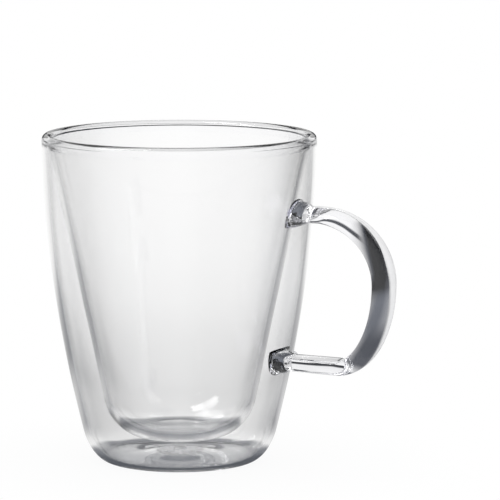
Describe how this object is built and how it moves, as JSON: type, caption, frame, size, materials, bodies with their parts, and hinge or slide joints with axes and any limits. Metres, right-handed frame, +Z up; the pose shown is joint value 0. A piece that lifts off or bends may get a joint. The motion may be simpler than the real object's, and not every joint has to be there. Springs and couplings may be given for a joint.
{
  "type": "double-wall glass mug",
  "caption": "Clear double-wall glass mug: a conical bowl fused at the rim into a rounded outer shell, with a solid glass strip handle on one side.",
  "frame": {"origin": "middle of the footprint, body and handle together, on the surface that the mug stands on", "axes": "+Z up, +X towards the handle, +Y across the handle's plane"},
  "size_m": [0.1212, 0.088, 0.1054],
  "materials": {
    "blown_glass": "clear, mould-blown borosilicate glass",
    "worked_glass": "clear, flame-worked and fire-polished borosilicate glass"
  },
  "bodies": {
    "root": {"inner_bowl": "blown_glass", "outer_shell": "blown_glass", "rim_bead": "worked_glass", "vent_seal": "worked_glass", "handle": "worked_glass", "upper_handle_weld": "worked_glass", "lower_handle_weld": "worked_glass"}
  },
  "joints": []
}
